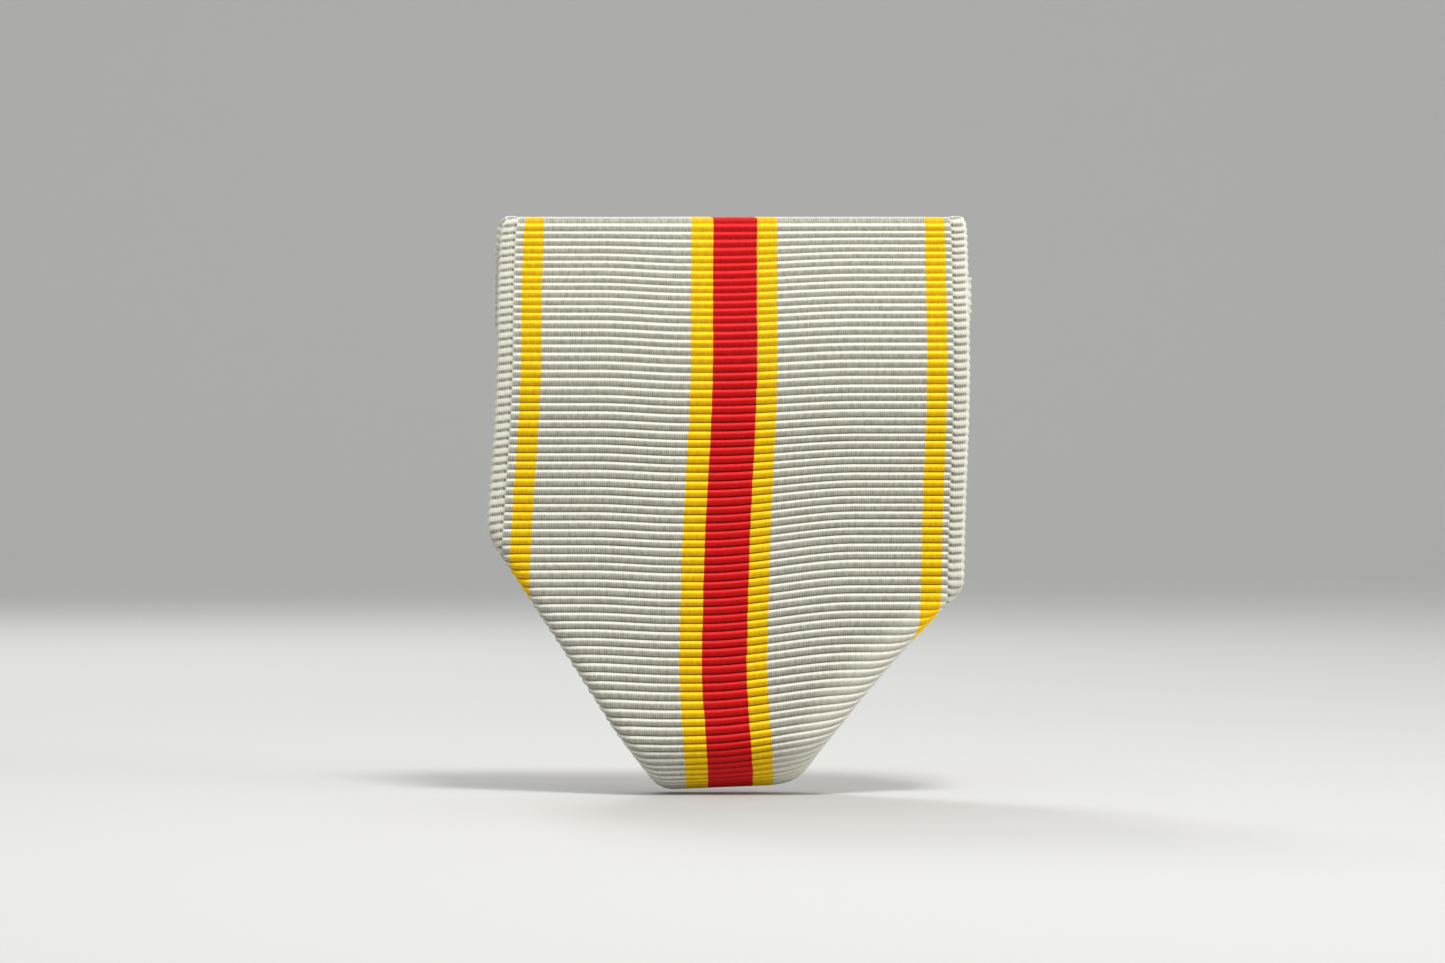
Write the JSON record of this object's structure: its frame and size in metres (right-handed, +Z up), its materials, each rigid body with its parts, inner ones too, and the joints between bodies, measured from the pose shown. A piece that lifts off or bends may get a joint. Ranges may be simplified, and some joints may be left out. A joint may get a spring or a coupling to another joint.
{
  "type": "medal ribbon drape",
  "caption": "Striped grosgrain ribbon folded into a tapering medal drape, on a safety pin brooch with a turning catch lock.",
  "frame": {"origin": "on the axis of the closed pin, in the middle of the ribbon's width", "axes": "X to the right and Z up as the front of the ribbon is seen, Y from the front to the back where the pin is"},
  "size_m": [0.035, 0.009, 0.0425],
  "materials": {
    "ribbon_cloth": "ribbed woven silk, white with a red centre stripe edged in yellow and a yellow stripe near each edge",
    "gilt_brass": "stamped and gilt, satin",
    "yellow_brass": "turned and formed, polished",
    "pin_steel": "nickel-plated, drawn and ground to a point"
  },
  "bodies": {
    "drape": {"ribbon": "ribbon_cloth", "brooch_plate": "gilt_brass", "clamp_bar": "gilt_brass", "hinge_bracket": "yellow_brass", "hinge_pivot": "yellow_brass", "catch_body": "yellow_brass", "hinge_rivet": "yellow_brass", "catch_rivet": "yellow_brass"},
    "pin": {"pin_stem": "pin_steel"},
    "catch_lock": {"catch_lock": "yellow_brass"}
  },
  "joints": [
    {"name": "pin_hinge", "type": "hinge", "parent": "drape", "child": "pin", "pos_m": [-0.0122, 0, 0], "axis": [0, 0, 1], "range_deg": [0, 80]},
    {"name": "catch_lock_turn", "type": "hinge", "parent": "drape", "child": "catch_lock", "pos_m": [0.0122, 0, 0], "axis": [1, 0, 0], "range_deg": [0, 100]}
  ]
}
